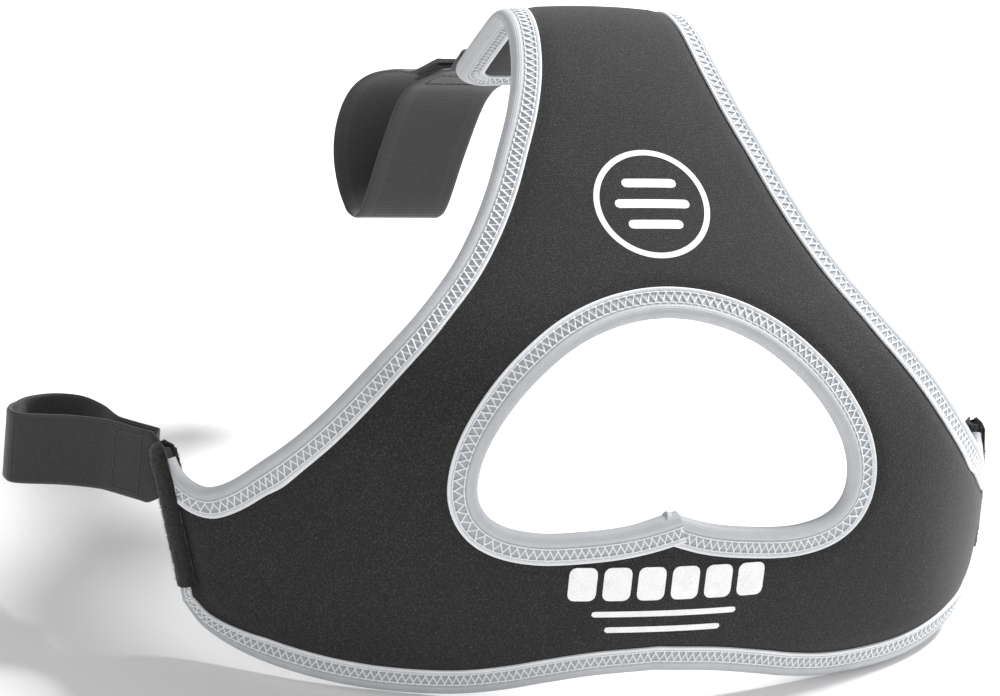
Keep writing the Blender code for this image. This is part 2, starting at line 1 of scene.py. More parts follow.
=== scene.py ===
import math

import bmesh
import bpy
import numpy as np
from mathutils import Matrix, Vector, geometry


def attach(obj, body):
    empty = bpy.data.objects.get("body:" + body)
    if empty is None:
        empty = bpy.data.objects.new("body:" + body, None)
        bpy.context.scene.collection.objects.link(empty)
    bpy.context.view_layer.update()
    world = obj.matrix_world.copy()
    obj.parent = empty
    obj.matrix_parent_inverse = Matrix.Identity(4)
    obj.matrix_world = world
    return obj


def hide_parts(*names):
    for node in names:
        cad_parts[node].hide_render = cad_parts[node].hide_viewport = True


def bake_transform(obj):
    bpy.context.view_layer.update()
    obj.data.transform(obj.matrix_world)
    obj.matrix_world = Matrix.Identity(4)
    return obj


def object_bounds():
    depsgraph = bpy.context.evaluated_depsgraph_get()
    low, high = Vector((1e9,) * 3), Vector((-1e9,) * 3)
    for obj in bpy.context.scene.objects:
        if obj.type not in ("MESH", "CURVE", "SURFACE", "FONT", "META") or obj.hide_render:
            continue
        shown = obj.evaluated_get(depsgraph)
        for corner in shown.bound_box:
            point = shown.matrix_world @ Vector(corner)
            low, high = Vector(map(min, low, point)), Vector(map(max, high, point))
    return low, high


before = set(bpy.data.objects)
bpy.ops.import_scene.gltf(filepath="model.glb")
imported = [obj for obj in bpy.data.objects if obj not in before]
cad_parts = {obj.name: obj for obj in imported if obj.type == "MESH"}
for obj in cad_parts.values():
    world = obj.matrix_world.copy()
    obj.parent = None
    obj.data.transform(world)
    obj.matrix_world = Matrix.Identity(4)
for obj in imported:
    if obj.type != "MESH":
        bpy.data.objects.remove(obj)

# The looks of a catcher's mask head harness, built around its CAD frame.
#
# As in the CAD model, the plate is drawn flat and bent afterwards: u runs across it from the
# centre line, v runs up it, and w is the height above its middle layer, towards the outside.
# Along an edge, a binding is drawn as (s, d, w): s runs along the edge and d into the plate.
# Lengths are in metres and angles in degrees, unless a name says otherwise.

CAD_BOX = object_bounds()
RANDOM = np.random.default_rng(7)
MM = 0.001
# Edges of a mesh that bend by more than this are shaded as creases.
SHARP_ANGLE = 42

LEFT, RIGHT = -1, 1
SIDE_NAMES = {LEFT: "left", RIGHT: "right"}

# ---- How the plate is bent, and its flat pattern, as in the CAD model ----
LEAN = ((-0.005, -7), (0.017, -2), (0.077, 12), (0.137, 48), (0.177, 49), (0.207, 53),
        (0.237, 64), (0.254, 92), (0.271, 131), (0.330, 135))
TURN = {
    LEFT: ((0.000, 0), (0.045, 7), (0.090, 17), (0.135, 38), (0.200, 63)),
    RIGHT: ((0.000, 0), (0.045, 9), (0.090, 20), (0.135, 47), (0.165, 73), (0.200, 100)),
}
LOWER_EDGE = ((0.000, 0.0115), (0.020, 0.0100), (0.036, 0.0072), (0.050, 0.0040), (0.066, 0.0013),
              (0.088, 0.0000), (0.112, 0.0002), (0.134, 0.0018), (0.150, 0.0062), (0.159, 0.0140))
UPPER_EDGE = ((0.171, 0.0775), (0.168, 0.0700), (0.163, 0.0645), (0.155, 0.0625), (0.146, 0.0670),
              (0.135, 0.0770), (0.117, 0.0965), (0.098, 0.1180), (0.082, 0.1350), (0.069, 0.1500),
              (0.060, 0.1640), (0.053, 0.1780), (0.047, 0.1930), (0.041, 0.2090), (0.0365, 0.2260),
              (0.034, 0.2440), (0.033, 0.2620), (0.033, 0.3000))
WING_TOP_CORNER = (0.1770, 0.0775)
CROWN_END = 0.3220
CROWN_CORNER_RADIUS = 0.014
OPENING = ((0.000, 0.0645), (0.014, 0.0605), (0.030, 0.0585), (0.045, 0.0580), (0.057, 0.0605),
           (0.064, 0.0660), (0.0665, 0.0750), (0.064, 0.0870), (0.057, 0.0995), (0.047, 0.1110),
           (0.033, 0.1220), (0.017, 0.1290), (0.000, 0.1315))
HEAD_REST = (0.0, 0.0360, -0.0026)
# How far to each side of a station its bend is eased, so that no binding's width jumps there.
CHAIN_SMOOTHING = 7 * MM

# ---- Where the sheet flexes, and where the pieces on it are parted ----
WING_FLEX_U = (0.078, 0.114)
CROWN_FLEX_V = (0.206, 0.236)
WING_FLEX_V = 0.055
WING_PART_U = 0.066
WING_PART_SPAN = (0.0016, 0.1525)
CROWN_PART_V = 0.190
CROWN_PART_SPAN = (-0.0475, 0.0476)

# ---- Sheet ----
SHEET_SPACING = 2.4 * MM
EDGE_SPACING = 1.6 * MM
LINING_GAP = 0.02 * MM
# Height of the sheet's faces against the distance from its edge, in mm: squeezed under the binding.
SHEET_SWELL = ((0, 1.55), (7.6, 1.9), (8.6, 2.0), (10.2, 2.6), (13.2, 2.95), (22.0, 3.05))

# ---- Binding ----
# One half of the folded tape's section, from its inner border round to the plate's edge, in mm.
BINDING_SECTION = ((8.45, 2.05), (8.55, 2.5), (8.35, 2.9), (7.95, 3.0), (7.55, 2.85), (7.25, 2.5),
                   (6.6, 2.36), (5.6, 2.4), (4.6, 2.43), (3.6, 2.4), (2.9, 2.4), (2.3, 2.68),
                   (1.4, 2.72), (0.4, 2.5), (-0.5, 1.95), (-1.15, 1.1), (-1.4, 0.35))
BINDING_SPACING = 1.4 * MM
STITCH_PITCH = 2.5 * MM
# The two needle lines' distances from the edge, in mm.
STITCH_BAND = (3.1, 6.9)
THREAD_RADIUS = 0.26 * MM
THREAD_SIDES = 5
# Where a wing's bindings narrow: distances from that end, and the share of the width there.
LOWER_END_TAPER = ((0.008, 0.014, 0.042), (0.45, 0.55, 1.0))
UPPER_END_TAPER = ((0.0, 0.005, 0.020), (0.55, 0.68, 1.0))
# How many points of the wing's end line the lower binding runs on along, where the end tape
# starts on it, and how many points of the upper line the end tape covers.
LOWER_TURN_POINTS = 7
END_TAPE_FIRST_POINT = 4
COVERED_POINTS = 3
# One half of the end tape's section, as for the binding, in mm.
END_TAPE_SECTION = ((6.6, 2.6), (6.8, 3.1), (6.1, 3.55), (4.0, 3.75), (1.8, 3.7), (0.2, 3.3),
                    (-1.0, 2.4), (-1.7, 1.2), (-1.9, 0.3))
END_TAPE_FIBRES = 5200
END_TAPE_BARE_TOP = 4.0 * MM

# ---- Straps, in the frame of each: (away from the root, backwards, across) ----
STRAP_THICKNESS = 0.0014
TAB_THICKNESS = 0.0009
GAP = 0.0003
SWING_GAP = 0.0032
STUB_W = 0.0048
LEG_SPACING = STRAP_THICKNESS + 2 * TAB_THICKNESS + 3 * GAP
TAB_RANGE = (0.0035, 0.0165)
PATCH_RANGE = (0.0020, 0.0180)
PATCH_FIBRES = 1500
ROUTE_SPACING = 1.0 * MM
ROOT_REACH = 6 * MM
FOLD_REACH = 8 * MM
BAR_TACK_ROWS = (1.6 * MM, 2.6 * MM, 3.6 * MM)
BAR_TACK_POINTS = 97
# The two legs of each loop: out to the fold at the cage bar, and back.
SIDE_LEGS = (
    ((0.000, 0.0000), (0.009, 0.0000), (0.018, 0.0000), (0.0225, -0.0006), (0.033, -0.0050),
     (0.046, -0.0130), (0.0510, -0.0122), (0.0530, -0.0092)),
    ((0.0530, -0.0066), (0.0525, 0.0000), (0.0475, 0.0075), (0.0390, 0.0115), (0.0290, 0.0095),
     (0.0210, 0.0052), (0.0165, LEG_SPACING), (0.0030, LEG_SPACING)),
)
CROWN_LEGS = (
    ((0.000, 0.0000), (0.009, 0.0000), (0.018, 0.0000), (0.0255, -0.0010), (0.0355, -0.0055),
     (0.0540, -0.0175), (0.0735, -0.0310), (0.0810, -0.0340), (0.0840, -0.0320)),
    ((0.0846, -0.0294), (0.0838, -0.0220), (0.0800, -0.0125), (0.0730, -0.0035), (0.0630, 0.0040),
     (0.0520, 0.0085), (0.0400, 0.0095), (0.0270, 0.0072), (0.0175, LEG_SPACING),
     (0.0030, LEG_SPACING)),
)
# How each strap is sewn on. root is the flat (u, v) of the middle of the sewn end's outer edge,
# stub is that end's length, and face is the side of the plate that it lies on. out and
# flat_across are flat directions: out of the plate, and along the webbing's width. away and across
# are the same two in space, and skew is the sideways slip of the backward axis.
STRAPS = {
    "left": {
        "width": 0.0254, "root": (-0.1775, 0.0640), "stub": 0.0060, "face": -1, "skew": 0.0,
        "out": (-1, 0), "flat_across": (0, -1), "away": (-0.71, 0.71, -0.05), "across": (0, 0, -1),
    },
    "right": {
        "width": 0.0254, "root": (0.1775, 0.0640), "stub": 0.0060, "face": -1, "skew": 0.0,
        "out": (1, 0), "flat_across": (0, 1), "away": (-0.10, 1.00, -0.34), "across": (0, 0, 1),
    },
    "crown": {
        "width": 0.0318, "root": (-0.0165, 0.3225), "stub": 0.0160, "face": 1, "skew": 0.34,
        "out": (0, 1), "flat_across": (1, 0), "away": (-0.34, 0.79, -0.58), "across": (1, 0, 0),
    },
}
PLATE_BODIES = {"left": "left_wing", "right": "right_wing", "crown": "crown_lobe"}

# ---- Camera ----
CAMERA_AZIMUTH = -19.73
CAMERA_ELEVATION = 22.37
CAMERA_ROLL = 7.21
CAMERA_DISTANCE = 1.0836
CAMERA_AIM = (-0.0420, 0.0668, 0.0597)
CAMERA_LENS = 117.0


# ---- Bending ----
class ArcChain:
    """A chain of tangent arcs, given as (distance, heading) stations, with its joins eased."""

    def __init__(self, stations):
        step = 0.5 * MM
        places, headings = zip(*stations)
        self.distance = np.arange(places[0], places[-1] + step, step)
        reach = round(CHAIN_SMOOTHING / step)
        window = np.hanning(2 * reach + 1)
        straight = np.radians(np.interp(self.distance, places, headings))
        padded = np.pad(straight, reach, mode="reflect", reflect_type="odd")
        self.heading = np.convolve(padded, window / window.sum(), mode="valid")
        middle = (self.heading[1:] + self.heading[:-1]) / 2
        self.ahead = np.append(0, np.cumsum(np.cos(middle)) * step)
        self.aside = np.append(0, np.cumsum(np.sin(middle)) * step)

    def at(self, distance):
        """Return the heading, and how far ahead and aside the chain has gone."""
        tracks = (self.heading, self.ahead, self.aside)
        return np.array([np.interp(distance, self.distance, track) for track in tracks])


PROFILE = ArcChain(LEAN)
WINGS = {side: ArcChain(stations) for side, stations in TURN.items()}


def bend_unshifted(flat):
    u, v, w = np.asarray(flat, float).T
    side = np.where(u < 0, LEFT, RIGHT)
    lean, height, setback = PROFILE.at(v)
    turn, across, depth = np.where(u < 0, WINGS[LEFT].at(-u), WINGS[RIGHT].at(u))
    point = np.column_stack((side * across,
                             setback + np.cos(lean) * depth,
                             height - np.sin(lean) * depth))
    outward = np.column_stack((side * np.sin(turn),
                               -np.cos(lean) * np.cos(turn),
                               np.sin(lean) * np.cos(turn)))
    return point + w[:, None] * outward


HEAD_REST_PLACE = bend_unshifted([HEAD_REST])[0]


def wrap(flat):
    """Carry flat (u, v, w) points to their places on the bent plate."""
    return bend_unshifted(flat) - HEAD_REST_PLACE


def wrap_point(u, v, w=0.0):
    return wrap([(u, v, w)])[0]


def on_plate(flat):
    """Carry flat (u, v) points to their places on the plate's middle layer."""
    return wrap(np.column_stack((flat, np.zeros(len(flat)))))


# ---- Lines ----
def smooth_line(points, spacing):
    """Run a Catmull-Rom curve through the points and return it evenly spaced."""
    points = np.array(points, float)
    ends = (2 * points[0] - points[1], 2 * points[-1] - points[-2])
    framed = np.vstack((ends[0], points, ends[1]))
    fine = []
    for before, start, stop, after in zip(framed, framed[1:], framed[2:], framed[3:]):
        for t in np.linspace(0, 1, 12, endpoint=False):
            fine.append(0.5 * (2 * start + (stop - before) * t
                               + (2 * before - 5 * start + 4 * stop - after) * t ** 2
                               + (3 * start - before - 3 * stop + after) * t ** 3))
    fine.append(points[-1])
    return even_line(fine, spacing)


def travelled(points):
    """Return the distance along a polyline at each of its points."""
    return np.append(0, np.cumsum(np.linalg.norm(np.diff(points, axis=0), axis=1)))


def sample(points, places):
    """Return the points of a polyline, or of any columns along it, at the given distances."""
    distance = travelled(points)
    return np.column_stack([np.interp(places, distance, column) for column in points.T])


def even_line(points, spacing):
    """Return the polyline with its points evenly spaced, ends kept."""
    points = np.array(points, float)
    length = travelled(points)[-1]
    return sample(points, np.linspace(0, length, max(2, round(length / spacing) + 1)))


def mirrored(line):
    """Return the line's left-hand twin, run the other way."""
    return (line * (-1, 1))[::-1]


def cut_at(line, column, limit, keep_above):
    """Keep the part of a line on one side of a limit in u or v, ending exactly on the limit."""
    kept = []
    for start, stop in zip(line, line[1:]):
        inside = [(point[column] > limit) == keep_above for point in (start, stop)]
        if inside[0]:
            kept.append(start)
        if inside[0] != inside[1]:
            share = (limit - start[column]) / (stop[column] - start[column])
            kept.append(start + share * (stop - start))
    if (line[-1][column] > limit) == keep_above:
        kept.append(line[-1])
    return np.array(kept)


def crown_corner():
    """Return the quarter arc at the crown lobe's right corner."""
    centre = np.array((UPPER_EDGE[-1][0] - CROWN_CORNER_RADIUS, CROWN_END - CROWN_CORNER_RADIUS))
    angles = np.linspace(0, math.pi / 2, 14)
    return centre + CROWN_CORNER_RADIUS * np.column_stack((np.cos(angles), np.sin(angles)))


LOWER_LINE = smooth_line(LOWER_EDGE, EDGE_SPACING)
UPPER_LINE = smooth_line(UPPER_EDGE, EDGE_SPACING)
OPENING_LINE = cut_at(smooth_line(OPENING + ((-OPENING[-2][0], OPENING[-2][1]),), EDGE_SPACING),
                      0, 0.0, keep_above=True)
CROWN_CORNER_LINE = crown_corner()
END_LINE = even_line((LOWER_LINE[-1], WING_TOP_CORNER), EDGE_SPACING)


def plate_outline():
    """Return the whole plate's outline, anticlockwise."""
    right = np.vstack((LOWER_LINE, END_LINE[1:], UPPER_LINE, CROWN_CORNER_LINE[1:]))
    return np.vstack((right, mirrored(right)[:-1]))


def opening_outline():
    """Return the ponytail opening's outline."""
    return np.vstack((OPENING_LINE, mirrored(OPENING_LINE)[1:-1]))


# ---- Meshes ----
def add_piece(name, points, faces, material, flat_uv=None):
    """Add a mesh piece. flat_uv gives each point's place in the flat pattern, for the weave."""
    mesh = bpy.data.meshes.new(name)
    mesh.from_pydata(np.asarray(points).tolist(), [], [list(map(int, face)) for face in faces])
    mesh.validate()
    shape = bmesh.new()
    shape.from_mesh(mesh)
    bmesh.ops.recalc_face_normals(shape, faces=shape.faces)
    if shape.calc_volume(signed=True) < 0:
        bmesh.ops.reverse_faces(shape, faces=shape.faces)
    shape.to_mesh(mesh)
    shape.free()
    if flat_uv is not None:
        layer = mesh.uv_layers.new(name="pattern")
        corners = np.zeros(len(mesh.loops), int)
        mesh.loops.foreach_get("vertex_index", corners)
        layer.data.foreach_set("uv", np.asarray(flat_uv, float)[corners].ravel())
    mesh.shade_smooth()
    mesh.set_sharp_from_angle(angle=math.radians(SHARP_ANGLE))
    mesh.materials.append(material)
    piece = bpy.data.objects.new(name, mesh)
    bpy.context.scene.collection.objects.link(piece)
    return piece


def inside_loops(points, loops):
    """Say for each point whether it is inside the loops, counting crossings."""
    crossings = np.zeros(len(points), int)
    x, y = points.T
    for loop in loops:
        for (ax, ay), (bx, by) in zip(loop, np.roll(loop, -1, axis=0)):
            spans = (ay > y) != (by > y)
            if ay != by:
                crossings += spans & (x < ax + (y - ay) * (bx - ax) / (by - ay))
    return crossings % 2 == 1


def distance_to(points, line):
    """Return each point's distance from the nearest segment of a polyline."""
    nearest = np.full(len(points), np.inf)
    for start, stop in zip(line, line[1:]):
        ahead = stop - start
        share = np.clip((points - start) @ ahead / max(ahead @ ahead, 1e-18), 0, 1)
        nearest = np.minimum(nearest, np.linalg.norm(points - start - share[:, None] * ahead, axis=1))
    return nearest


def fill_flat(loops, spacing, part_lines=()):
    """Triangulate the area inside closed loops evenly. Edges also follow the part_lines."""
    low = np.min([loop.min(axis=0) for loop in loops], axis=0)
    high = np.max([loop.max(axis=0) for loop in loops], axis=0)
    rows = np.arange(low[1], high[1], spacing * 0.87)
    lattice = []
    for index, row in enumerate(rows):
        start = low[0] + (index % 2) * spacing / 2
        lattice += [(place, row) for place in np.arange(start, high[0], spacing)]
    lattice = np.array(lattice).reshape(-1, 2)
    if len(lattice):
        lattice = lattice[inside_loops(lattice, loops)]
    borders = [np.vstack((loop, loop[:1])) for loop in loops] + [np.array(line) for line in part_lines]
    for border in borders:
        if len(lattice):
            lattice = lattice[distance_to(lattice, border) > spacing * 0.55]
    points = [Vector(point) for point in lattice]
    edges = []
    for loop in loops:
        first = len(points)
        points += [Vector(point) for point in loop]
        edges += [(first + i, first + (i + 1) % len(loop)) for i in range(len(loop))]
    for line in part_lines:
        first = len(points)
        points += [Vector(point) for point in line]
        edges += [(first + i, first + i + 1) for i in range(len(line) - 1)]
    out_points, _, faces, _, _, _ = geometry.delaunay_2d_cdt(points, edges, [], 0, 1e-7)
    flat = np.array([tuple(point) for point in out_points])
    faces = np.array(faces)
    keep = inside_loops(flat[faces].mean(axis=1), loops)
    return flat, faces[keep]


def closed_slab(flat, faces, low_w, high_w):
    """Give a flat triangulation two faces and side walls. Return flat points and faces."""
    used = np.unique(faces)
    place = {old: new for new, old in enumerate(used)}
    faces = np.vectorize(place.get)(faces)
    flat = flat[used]
    count = len(flat)
    layers = []
    for height in (high_w, low_w):
        level = np.full(count, height) if np.ndim(height) == 0 else height[used]
        layers.append(np.column_stack((flat, level)))
    sides = {}
    for a, b, c in faces:
        for edge in ((a, b), (b, c), (c, a)):
            sides[edge] = sides.get(edge, 0) + 1
    walls = [(a, b, b + count, a + count) for a, b in sides if (b, a) not in sides]
    solid = [tuple(face) for face in faces] + [tuple(face[::-1] + count) for face in faces] + walls
    return np.vstack(layers), solid


def add_flat_slab(name, flat, faces, low_w, high_w, material):
    """Add a slab that is drawn flat and bent with the plate."""
    points, solid = closed_slab(flat, faces, low_w, high_w)
    return add_piece(name, wrap(points), solid, material, flat_uv=points[:, :2])


def sweep_faces(stations, count, first=0):
    """Return the faces that skin and cap a row of closed rings. first is its first point."""
    last = first + (stations - 1) * count
    faces = []
    for ring in range(first, last, count):
        for index in range(count):
            after = (index + 1) % count
            faces.append((ring + index, ring + after, ring + count + after, ring + count + index))
    faces.append(tuple(range(first, first + count))[::-1])
    faces.append(tuple(range(last, last + count)))
    return faces


def add_sweep(name, rings, material, ring_uv):
    """Skin a row of closed rings of points, shaped (stations, ring points, 3)."""
    stations, count, _ = rings.shape
    return add_piece(name, rings.reshape(-1, 3), sweep_faces(stations, count), material,
                     flat_uv=ring_uv.reshape(-1, 2))


def thread_mesh(paths, radius):
    """Return the points and faces of round threads that follow the paths."""
    points, faces = [], []
    angles = np.linspace(0, 2 * math.pi, THREAD_SIDES, endpoint=False)
    helper = np.array((0.31, 0.52, 0.79))
    total = 0
    for path in paths:
        ahead = np.gradient(path, axis=0)
        ahead /= np.maximum(np.linalg.norm(ahead, axis=1), 1e-12)[:, None]
        side = np.cross(ahead, helper)
        side /= np.linalg.norm(side, axis=1)[:, None]
        other = np.cross(ahead, side)
        ring = (np.cos(angles)[None, :, None] * side[:, None, :]
                + np.sin(angles)[None, :, None] * other[:, None, :])
        points.append((path[:, None, :] + radius * ring).reshape(-1, 3))
        faces += sweep_faces(len(path), THREAD_SIDES, total)
        total += len(path) * THREAD_SIDES
    return np.vstack(points), faces


def fuzz_mesh(roots, directions, length, radius, curl):
    """Return the points and faces of short curled fibres that stand on a surface."""
    count = len(roots)
    drift = RANDOM.normal(0, 1, (count, 3)) * curl
    lengths = length * RANDOM.uniform(0.5, 1.2, count)[:, None]
    paths = [roots]
    for share in (0.4, 0.75, 1.0):
        paths.append(roots + lengths * share * (directions + drift * share))
    paths = np.stack(paths, axis=1)
    side = np.cross(directions, RANDOM.normal(0, 1, (count, 3)))
    side /= np.maximum(np.linalg.norm(side, axis=1), 1e-9)[:, None]
    other = np.cross(directions, side)
    corners = [side, -0.5 * side + 0.87 * other, -0.5 * side - 0.87 * other]
    sizes = radius * np.array((1.0, 0.9, 0.7, 0.3))
    rings = paths[:, :, None, :] + sizes[None, :, None, None] * np.stack(corners, axis=1)[:, None]
    levels, sides = rings.shape[1:3]
    faces = []
    for fibre in range(count):
        faces += sweep_faces(levels, sides, fibre * levels * sides)
    return rings.reshape(-1, 3), faces


# ---- Materials ----
# The Mix node's sockets for colours: the factor, the two colours and the result.
MIX_FACTOR, MIX_FIRST, MIX_SECOND, MIX_RESULT = 0, 6, 7, 2


class Look:
    """A Principled material under construction, with short calls for its nodes."""

    def __init__(self, name, roughness, sheen=0.0, specular=0.5):
        self.material = bpy.data.materials.new(name)
        self.material.use_nodes = True
        self.tree = self.material.node_tree
        self.shader = self.tree.nodes["Principled BSDF"]
        self.shader.inputs["Roughness"].default_value = roughness
        self.shader.inputs["Sheen Weight"].default_value = sheen
        self.shader.inputs["Sheen Roughness"].default_value = 0.5
        self.shader.inputs["Specular IOR Level"].default_value = specular
        self.coordinates = self.tree.nodes.new("ShaderNodeTexCoord")

    def link(self, source, target):
        self.tree.links.new(source, target)

    def node(self, kind, inputs=None, **settings):
        made = self.tree.nodes.new(kind)
        for key, value in settings.items():
            setattr(made, key, value)
        for key, value in (inputs or {}).items():
            if isinstance(value, bpy.types.NodeSocket):
                self.link(value, made.inputs[key])
            else:
                made.inputs[key].default_value = value
        return made

    def place(self, flat=False, scale=(1, 1, 1)):
        """Return coordinates in metres: on the flat pattern, or in space."""
        source = self.coordinates.outputs["UV" if flat else "Object"]
        return self.node("ShaderNodeMapping", {"Vector": source, "Scale": scale}).outputs["Vector"]

    def noise(self, size, detail=2.0, roughness=0.5):
        inputs = {"Vector": self.place(scale=(1 / size,) * 3), "Scale": 1.0, "Detail": detail,
                  "Roughness": roughness}
        return self.node("ShaderNodeTexNoise", inputs).outputs["Fac"]

    def ribs(self, pitch, direction, distortion):
        """Return even ribs along the flat pattern, one for each pitch."""
        scale = 1 / (20 * pitch) * 2 * math.pi
        inputs = {"Vector": self.place(flat=True), "Scale": scale, "Distortion": distortion,
                  "Detail": 1.0}
        node = self.node("ShaderNodeTexWave", inputs, bands_direction=direction)
        return node.outputs["Fac"]

    def math(self, operation, first, second):
        return self.node("ShaderNodeMath", {0: first, 1: second}, operation=operation).outputs[0]

    def ramp(self, value, stops):
        """Return a colour ramp's output. stops are (position, colour or grey)."""
        node = self.node("ShaderNodeValToRGB", {"Fac": value})
        elements = node.color_ramp.elements
        while len(elements) < len(stops):
            elements.new(0.5)
        for element, (position, colour) in zip(elements, stops):
            element.position = position
            shade = (colour, colour, colour) if np.ndim(colour) == 0 else colour
            element.color = (*shade, 1)
        return node.outputs["Color"]

    def mix(self, factor, first, second, blend_type="MIX"):
        node = self.node("ShaderNodeMix", data_type="RGBA", blend_type=blend_type)
        for index, value in ((MIX_FACTOR, factor), (MIX_FIRST, first), (MIX_SECOND, second)):
            socket = node.inputs[index]
            if isinstance(value, bpy.types.NodeSocket):
                self.link(value, socket)
            else:
                socket.default_value = value if np.ndim(value) == 0 else (*value, 1)
        return node.outputs[MIX_RESULT]

    def bump(self, height, distance, normal=None, strength=1.0):
        inputs = {"Height": height, "Distance": distance, "Strength": strength}
        if normal is not None:
            inputs["Normal"] = normal
        return self.node("ShaderNodeBump", inputs).outputs["Normal"]

    def finish(self, colour, normal=None):
        self.link(colour, self.shader.inputs["Base Color"])
        if normal is not None:
            self.link(normal, self.shader.inputs["Normal"])
        return self.material


def knit_look():
    """Charcoal knit face of the neoprene: fine speckle, faint wales and soft cloudiness."""
    look = Look("charcoal_knit", 0.85, sheen=0.12, specular=0.3)
    speckle = look.noise(0.55 * MM, detail=2.5, roughness=0.7)
    clouds = look.noise(18 * MM, detail=3)
    wales = look.ribs(0.75 * MM, "X", distortion=0.6)
    courses = look.ribs(0.6 * MM, "Y", distortion=0.6)
    dark = look.ramp(speckle, ((0.30, (0.009, 0.009, 0.0095)), (0.52, (0.019, 0.019, 0.020)),
                               (0.78, (0.075, 0.075, 0.076))))
    shade = look.ramp(clouds, ((0.3, 0.86), (0.7, 1.0)))
    colour = look.mix(1.0, dark, shade, "MULTIPLY")
    weave = look.math("MULTIPLY", wales, courses)
    fine = look.bump(weave, 0.10 * MM, strength=0.5)
    return look.finish(colour, look.bump(speckle, 0.22 * MM, fine, strength=0.6))


def lining_look():
    """Black brushed lining on the head side."""
    look = Look("black_lining", 0.95, sheen=0.2, specular=0.2)
    nap = look.noise(0.9 * MM, detail=4, roughness=0.7)
    patches = look.noise(12 * MM, detail=2)
    colour = look.mix(1.0, look.ramp(nap, ((0.3, 0.010), (0.7, 0.028))),
                      look.ramp(patches, ((0.3, 0.8), (0.7, 1.0))), "MULTIPLY")
    return look.finish(colour, look.bump(nap, 0.4 * MM, strength=0.7))


def binding_look():
    """Silver-grey knitted tape: painted highlight on the raised border, bluish stitched channel darkened
    as painted shade, ribbed knit.
    """
    look = Look("silver_binding", 0.62, sheen=0.15, specular=0.4)
    split = look.node("ShaderNodeSeparateXYZ", {"Vector": look.coordinates.outputs["UV"]})
    across = look.math("ABSOLUTE", split.outputs["Y"], 0.0)
    depth = look.math("DIVIDE", across, 12 * MM)
    # Shades across the tape follow its section: a painted highlight on the raised inner border, painted
    # shade in the recessed stitched channel, which is also tinted bluish, and a little darker where it
    # rolls over the plate's edge.
    tint_and_painted_light = look.ramp(depth, (
        (0.00, (0.50, 0.51, 0.53)), (0.17, (0.55, 0.565, 0.58)), (0.23, (0.37, 0.395, 0.415)),
        (0.42, (0.43, 0.455, 0.475)), (0.57, (0.36, 0.385, 0.41)), (0.62, (0.78, 0.79, 0.81)),
        (0.72, (0.90, 0.905, 0.915))))
    knit = look.ribs(0.55 * MM, "X", distortion=0.4)
    lines = look.ribs(0.7 * MM, "Y", distortion=0.2)
    dirt = look.noise(7 * MM, detail=4)
    colour = look.mix(1.0, tint_and_painted_light, look.ramp(dirt, ((0.25, (0.90, 0.91, 0.93)), (0.65, 1.0))), "MULTIPLY")
    colour = look.mix(1.0, colour, look.ramp(knit, ((0.0, 0.90), (0.7, 1.0))), "MULTIPLY")
    relief = look.math("MULTIPLY", knit, lines)
    return look.finish(colour, look.bump(relief, 0.12 * MM, strength=0.7))


def thread_look(name, low, high):
    """Twisted sewing thread between two shades."""
    look = Look(name, 0.5, sheen=0.1)
    strands = look.noise(0.35 * MM, detail=2)
    return look.finish(look.ramp(strands, ((0.3, low), (0.7, high))),
                       look.bump(strands, 0.08 * MM, strength=0.6))


def webbing_look():
    """Charcoal woven elastic: fine ribs across, dull sheen, and a painted highlight along the selvages.
    """
    look = Look("charcoal_webbing", 0.7, sheen=0.3, specular=0.35)
    split = look.node("ShaderNodeSeparateXYZ", {"Vector": look.coordinates.outputs["UV"]})
    across = look.math("ABSOLUTE", split.outputs["Y"], 0.0)
    share = look.math("DIVIDE", across, 12.7 * MM)
    # Painted highlight: the colour lightens in a thin band near each selvage.
    edge = look.ramp(share, ((0.0, 0.0), (0.90, 0.0), (0.95, 0.25), (1.0, 0.12)))
    ribs = look.ribs(0.85 * MM, "X", distortion=0.25)
    warps = look.ribs(0.9 * MM, "Y", distortion=0.25)
    fluff = look.noise(0.5 * MM, detail=3, roughness=0.7)
    base = look.ramp(fluff, ((0.3, (0.020, 0.020, 0.021)), (0.7, (0.040, 0.040, 0.042))))
    base = look.mix(1.0, base, look.ramp(ribs, ((0.0, 0.82), (0.6, 1.0))), "MULTIPLY")
    colour = look.mix(edge, base, (0.08, 0.08, 0.083))
    weave = look.math("MULTIPLY", ribs, warps)
    return look.finish(colour, look.bump(weave, 0.15 * MM, strength=0.7))


def pile_look():
    """Fuzzy black hook-and-loop tape and its fibres."""
    look = Look("black_pile", 0.95, sheen=0.35, specular=0.15)
    tufts = look.noise(0.9 * MM, detail=4, roughness=0.75)
    colour = look.ramp(tufts, ((0.35, 0.004), (0.6, 0.016), (0.8, 0.05)))
    return look.finish(colour, look.bump(tufts, 0.6 * MM, strength=0.8))


def print_look():
    """Raised white ink that has sunk a little into the knit."""
    look = Look("white_print", 0.6, specular=0.4)
    cover = look.noise(0.5 * MM, detail=3, roughness=0.7)
    patchy = look.noise(5 * MM, detail=2)
    colour = look.mix(1.0, look.ramp(cover, ((0.28, 0.55), (0.42, 0.86), (0.7, 0.92))),
                      look.ramp(patchy, ((0.3, 0.93), (0.6, 1.0))), "MULTIPLY")
    return look.finish(colour, look.bump(cover, 0.1 * MM, strength=0.5))


def floor_look():
    """Plain pale studio floor."""
    look = Look("pale_floor", 0.9, specular=0.1)
    grain = look.noise(40 * MM, detail=2)
    return look.finish(look.ramp(grain, ((0.3, 0.90), (0.7, 0.91))))


KNIT = knit_look()
LINING = lining_look()
BINDING = binding_look()
PALE_THREAD = thread_look("pale_thread", (0.66, 0.69, 0.71), (0.90, 0.91, 0.93))
DARK_THREAD = thread_look("dark_thread", (0.030, 0.030, 0.032), (0.085, 0.085, 0.088))
WEBBING = webbing_look()
PILE = pile_look()
PRINT = print_look()


